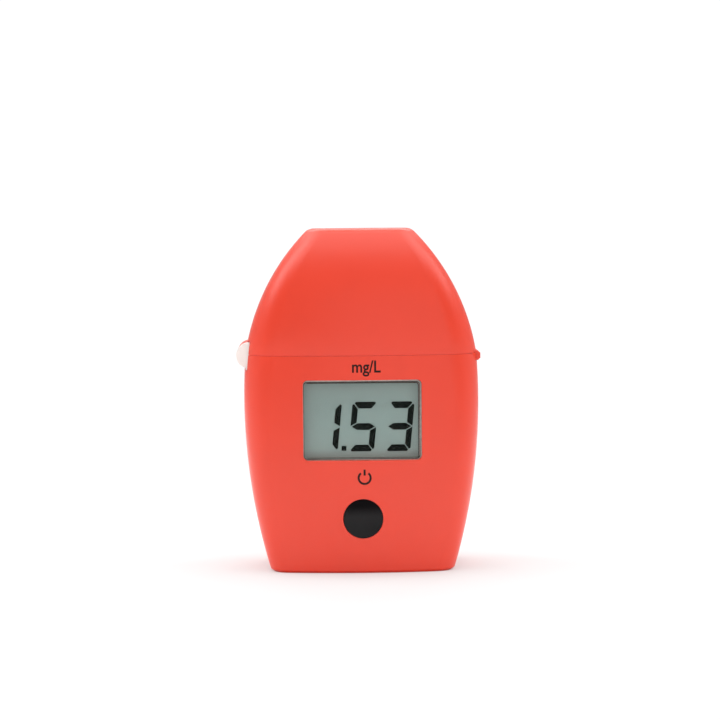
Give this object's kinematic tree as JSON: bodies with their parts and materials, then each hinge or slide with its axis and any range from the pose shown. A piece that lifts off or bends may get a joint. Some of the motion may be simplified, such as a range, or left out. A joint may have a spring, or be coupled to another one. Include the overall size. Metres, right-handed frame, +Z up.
{
  "type": "portable colorimeter",
  "caption": "Pocket colorimeter with a red egg-shaped moulded case, flip lid over a round cuvette well, display window, round black button and coin-slot battery cap in the base.",
  "frame": {"origin": "middle of the base, on the plane that the meter stands on", "axes": "+Z up towards the lid, -Y the way the display faces, -X towards the hinge"},
  "size_m": [0.0614, 0.0373, 0.086],
  "materials": {
    "shell_red": "moulded ABS, fine satin texture",
    "lid_red": "moulded ABS, fine satin texture",
    "deck_grey": "moulded ABS, light grey, satin",
    "well_black": "moulded black ABS, matt",
    "pin_steel": "drawn stainless steel",
    "screw_steel": "zinc-plated steel",
    "lens_clear": "clear polycarbonate, polished",
    "lcd_grey": "reflective display glass",
    "frame_white": "moulded white plastic",
    "zebra_rubber": "layered conductive rubber",
    "board_green": "solder mask on glass epoxy",
    "chip_black": "moulded epoxy",
    "passive_tan": "ceramic chip",
    "button_black": "moulded black plastic, satin",
    "switch_black": "moulded black plastic",
    "plunger_white": "moulded white plastic",
    "led_clear": "clear epoxy",
    "filter_glass": "coated glass",
    "cell_can": "metal can with clear window",
    "battery_sleeve": "printed plastic sleeve over steel can",
    "tube_black": "moulded black ABS",
    "contact_nickel": "nickel-plated spring steel",
    "cap_grey": "moulded ABS, light grey, satin",
    "seal_rubber": "black nitrile rubber",
    "cable_grey": "grey insulated wire"
  },
  "bodies": {
    "case": {"front_shell": "shell_red", "rear_shell": "shell_red", "case_screws": "screw_steel", "top_deck": "deck_grey", "hinge_pin": "pin_steel", "cuvette_well": "well_black", "led_holder": "well_black", "led_emitter": "led_clear", "led_board": "board_green", "led_cable": "cable_grey", "optical_filter": "filter_glass", "photocell": "cell_can", "detector_board": "board_green", "detector_cable": "cable_grey", "lcd_window": "lens_clear", "lcd_glass": "lcd_grey", "lcd_frame": "frame_white", "zebra_strips": "zebra_rubber", "circuit_board": "board_green", "microcontroller": "chip_black", "board_passives": "passive_tan", "board_screws": "screw_steel", "switch_body": "switch_black", "battery_tube": "tube_black", "battery_spring": "contact_nickel", "positive_strip": "contact_nickel"},
    "lid": {"lid_shell": "lid_red"},
    "button": {"button_cap": "button_black", "switch_plunger": "plunger_white"},
    "cap_carrier": {"cap_seal": "seal_rubber", "battery_cell": "battery_sleeve"},
    "battery_cap": {"battery_cap": "cap_grey", "cap_contact": "contact_nickel"}
  },
  "joints": [
    {"name": "lid_hinge", "type": "hinge", "parent": "case", "child": "lid", "pos_m": [-0.0282, 0, 0.0544], "axis": [0, -1, 0], "range_deg": [0, 115]},
    {"name": "button_press", "type": "slide", "parent": "case", "child": "button", "axis": [0, 1, 0], "range_m": [0, 0.0006], "stiffness_N_per_m": 400},
    {"name": "battery_cap_draw", "type": "slide", "parent": "case", "child": "cap_carrier", "axis": [0, 0, -1], "range_m": [0, 0.0025]},
    {"name": "battery_cap_turn", "type": "hinge", "parent": "cap_carrier", "child": "battery_cap", "pos_m": [0.0151, -0.0012, 0], "axis": [0, 0, -1], "range_deg": [0, 450]}
  ],
  "couplings": [
    {"joint": "battery_cap_turn", "follows": "battery_cap_draw", "rad_per_m": 3141.6}
  ]
}
